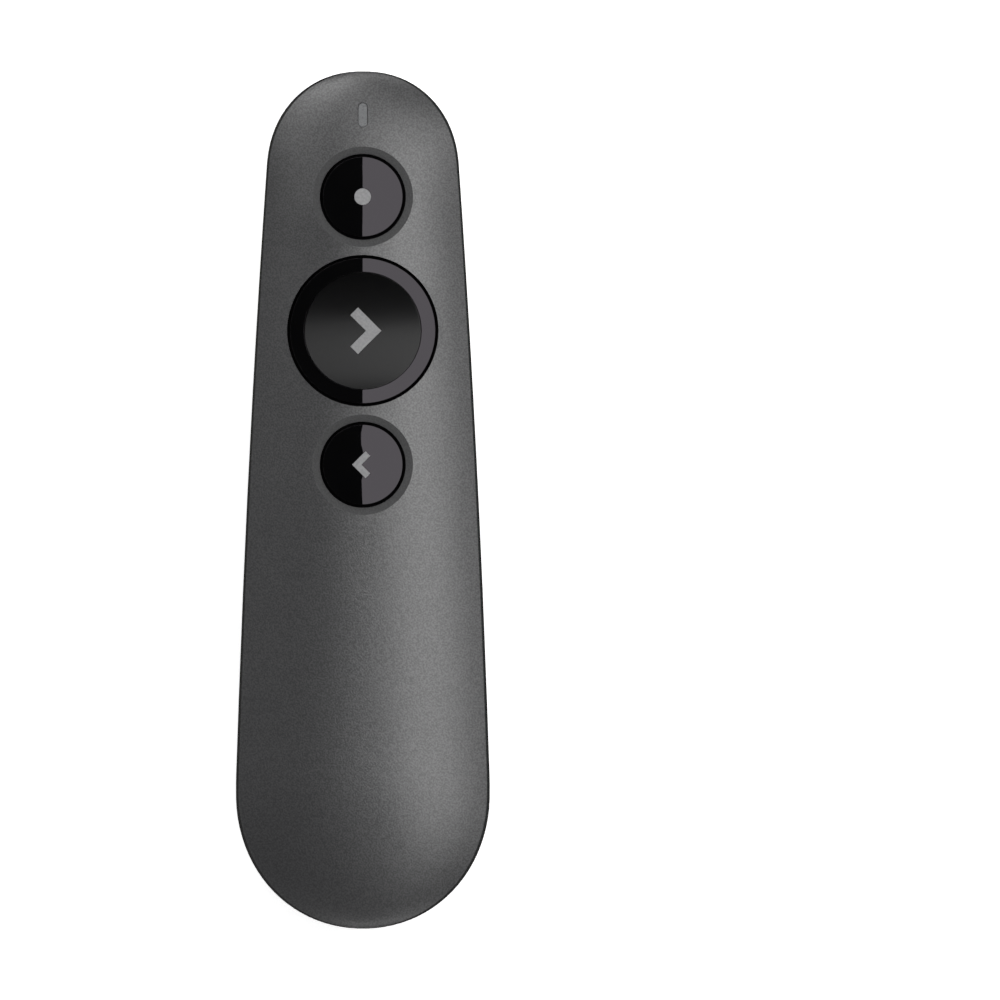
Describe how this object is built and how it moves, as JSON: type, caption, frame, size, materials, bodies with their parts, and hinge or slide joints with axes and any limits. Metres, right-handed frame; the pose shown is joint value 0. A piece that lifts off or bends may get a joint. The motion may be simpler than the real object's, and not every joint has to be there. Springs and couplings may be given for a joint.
{
  "type": "wireless presentation clicker",
  "caption": "Handheld wireless presenter with round push buttons, laser nose, slide-off battery cover and a USB receiver stored in its tail.",
  "frame": {"origin": "centre of the bounding box's underside, with the part lying on its back", "axes": "+Z out of the button face, +Y towards the laser nose, +X across the body to its right"},
  "size_m": [0.0368, 0.124, 0.025],
  "materials": {
    "graphite_shell": "fine spark-eroded texture",
    "gloss_black": "high gloss",
    "satin_black": "satin",
    "icon_grey": "printed inlay, satin",
    "window_grey": "frosted light guide",
    "laser_glass": "dark red window",
    "lens_glass": "clear lens",
    "black_plastic": "plain moulded",
    "board_green": "solder mask",
    "chip_black": "moulded package",
    "switch_steel": "stamped",
    "led_white": "clear epoxy",
    "ceramic_tan": "ceramic body",
    "brass_turned": "turned",
    "nickel": "nickel plated",
    "spring_steel": "drawn wire",
    "cell_sleeve": "plain sleeve",
    "screw_steel": "black zinc",
    "label_yellow": "blank sticker",
    "gold_contact": "gold flash",
    "tongue_white": "moulded"
  },
  "bodies": {
    "housing": {"front_cover": "graphite_shell", "rear_housing": "graphite_shell", "rear_label": "label_yellow", "inner_chassis": "black_plastic", "receiver_dock": "black_plastic", "main_board": "board_green", "controller_chip": "chip_black", "radio_chip": "chip_black", "clock_crystal": "nickel", "antenna_element": "ceramic_tan", "board_capacitors": "ceramic_tan", "status_light": "led_white", "light_guide": "window_grey", "laser_window": "laser_glass", "laser_barrel": "brass_turned", "laser_lens": "lens_glass", "laser_diode": "nickel", "left_cell": "cell_sleeve", "right_cell": "cell_sleeve", "left_cell_spring": "spring_steel", "right_cell_spring": "spring_steel", "nose_contacts": "nickel", "bridge_contact": "nickel", "case_screws": "screw_steel", "tray_screws": "screw_steel", "laser_switch": "switch_steel", "next_switch": "switch_steel", "back_switch": "switch_steel"},
    "laser_key": {"laser_button": "gloss_black", "laser_icon": "icon_grey", "laser_plunger": "chip_black"},
    "next_key": {"next_button": "gloss_black", "next_dish": "satin_black", "next_icon": "icon_grey", "next_plunger": "chip_black"},
    "back_key": {"back_button": "gloss_black", "back_icon": "icon_grey", "back_plunger": "chip_black"},
    "cover": {"battery_cover": "graphite_shell"},
    "receiver": {"receiver_head": "black_plastic", "usb_shell": "nickel", "usb_tongue": "tongue_white", "usb_contacts": "gold_contact", "receiver_board": "board_green"}
  },
  "joints": [
    {"name": "laser_press", "type": "slide", "parent": "housing", "child": "laser_key", "axis": [0, 0, -1], "range_m": [0, 0.0004], "stiffness_N_per_m": 1500, "springref_m": -0.0002},
    {"name": "next_press", "type": "slide", "parent": "housing", "child": "next_key", "axis": [0, 0, -1], "range_m": [0, 0.0004], "stiffness_N_per_m": 1500, "springref_m": -0.0002},
    {"name": "back_press", "type": "slide", "parent": "housing", "child": "back_key", "axis": [0, 0, -1], "range_m": [0, 0.0004], "stiffness_N_per_m": 1500, "springref_m": -0.0002},
    {"name": "cover_slide", "type": "slide", "parent": "housing", "child": "cover", "axis": [0, -1, 0], "range_m": [0, 0.056]},
    {"name": "receiver_pull", "type": "slide", "parent": "housing", "child": "receiver", "axis": [0, -1, 0], "range_m": [0, 0.021]}
  ]
}
